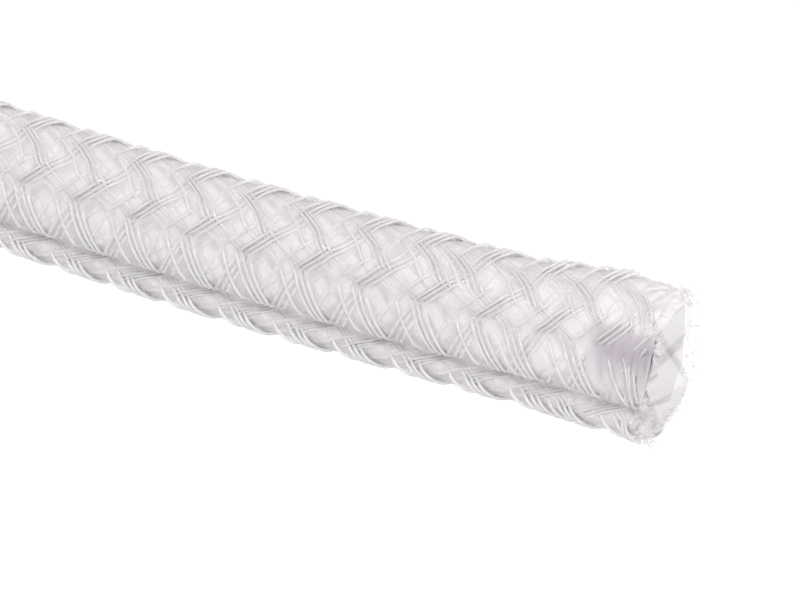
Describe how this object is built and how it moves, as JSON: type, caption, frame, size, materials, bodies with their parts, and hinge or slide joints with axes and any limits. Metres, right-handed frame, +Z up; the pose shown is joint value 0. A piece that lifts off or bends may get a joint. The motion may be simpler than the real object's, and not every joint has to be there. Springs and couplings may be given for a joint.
{
  "type": "braided cable sleeve",
  "caption": "Cut length of hollow braided sleeving, soft and lobed in section, open at both ends, that slides over wires or tubing to bundle and protect them.",
  "frame": {"origin": "bottom centre of the sleeve's box, on the surface it lies on", "axes": "+X along the sleeve towards the cut end that the picture shows, +Z up, with the deep crease on the -Y side"},
  "size_m": [0.3, 0.0104, 0.0111],
  "materials": {
    "clear_braid": "clear glossy monofilaments over flat, translucent satin ribbons"
  },
  "bodies": {
    "root": {"braided_sleeve": "clear_braid"}
  },
  "joints": []
}
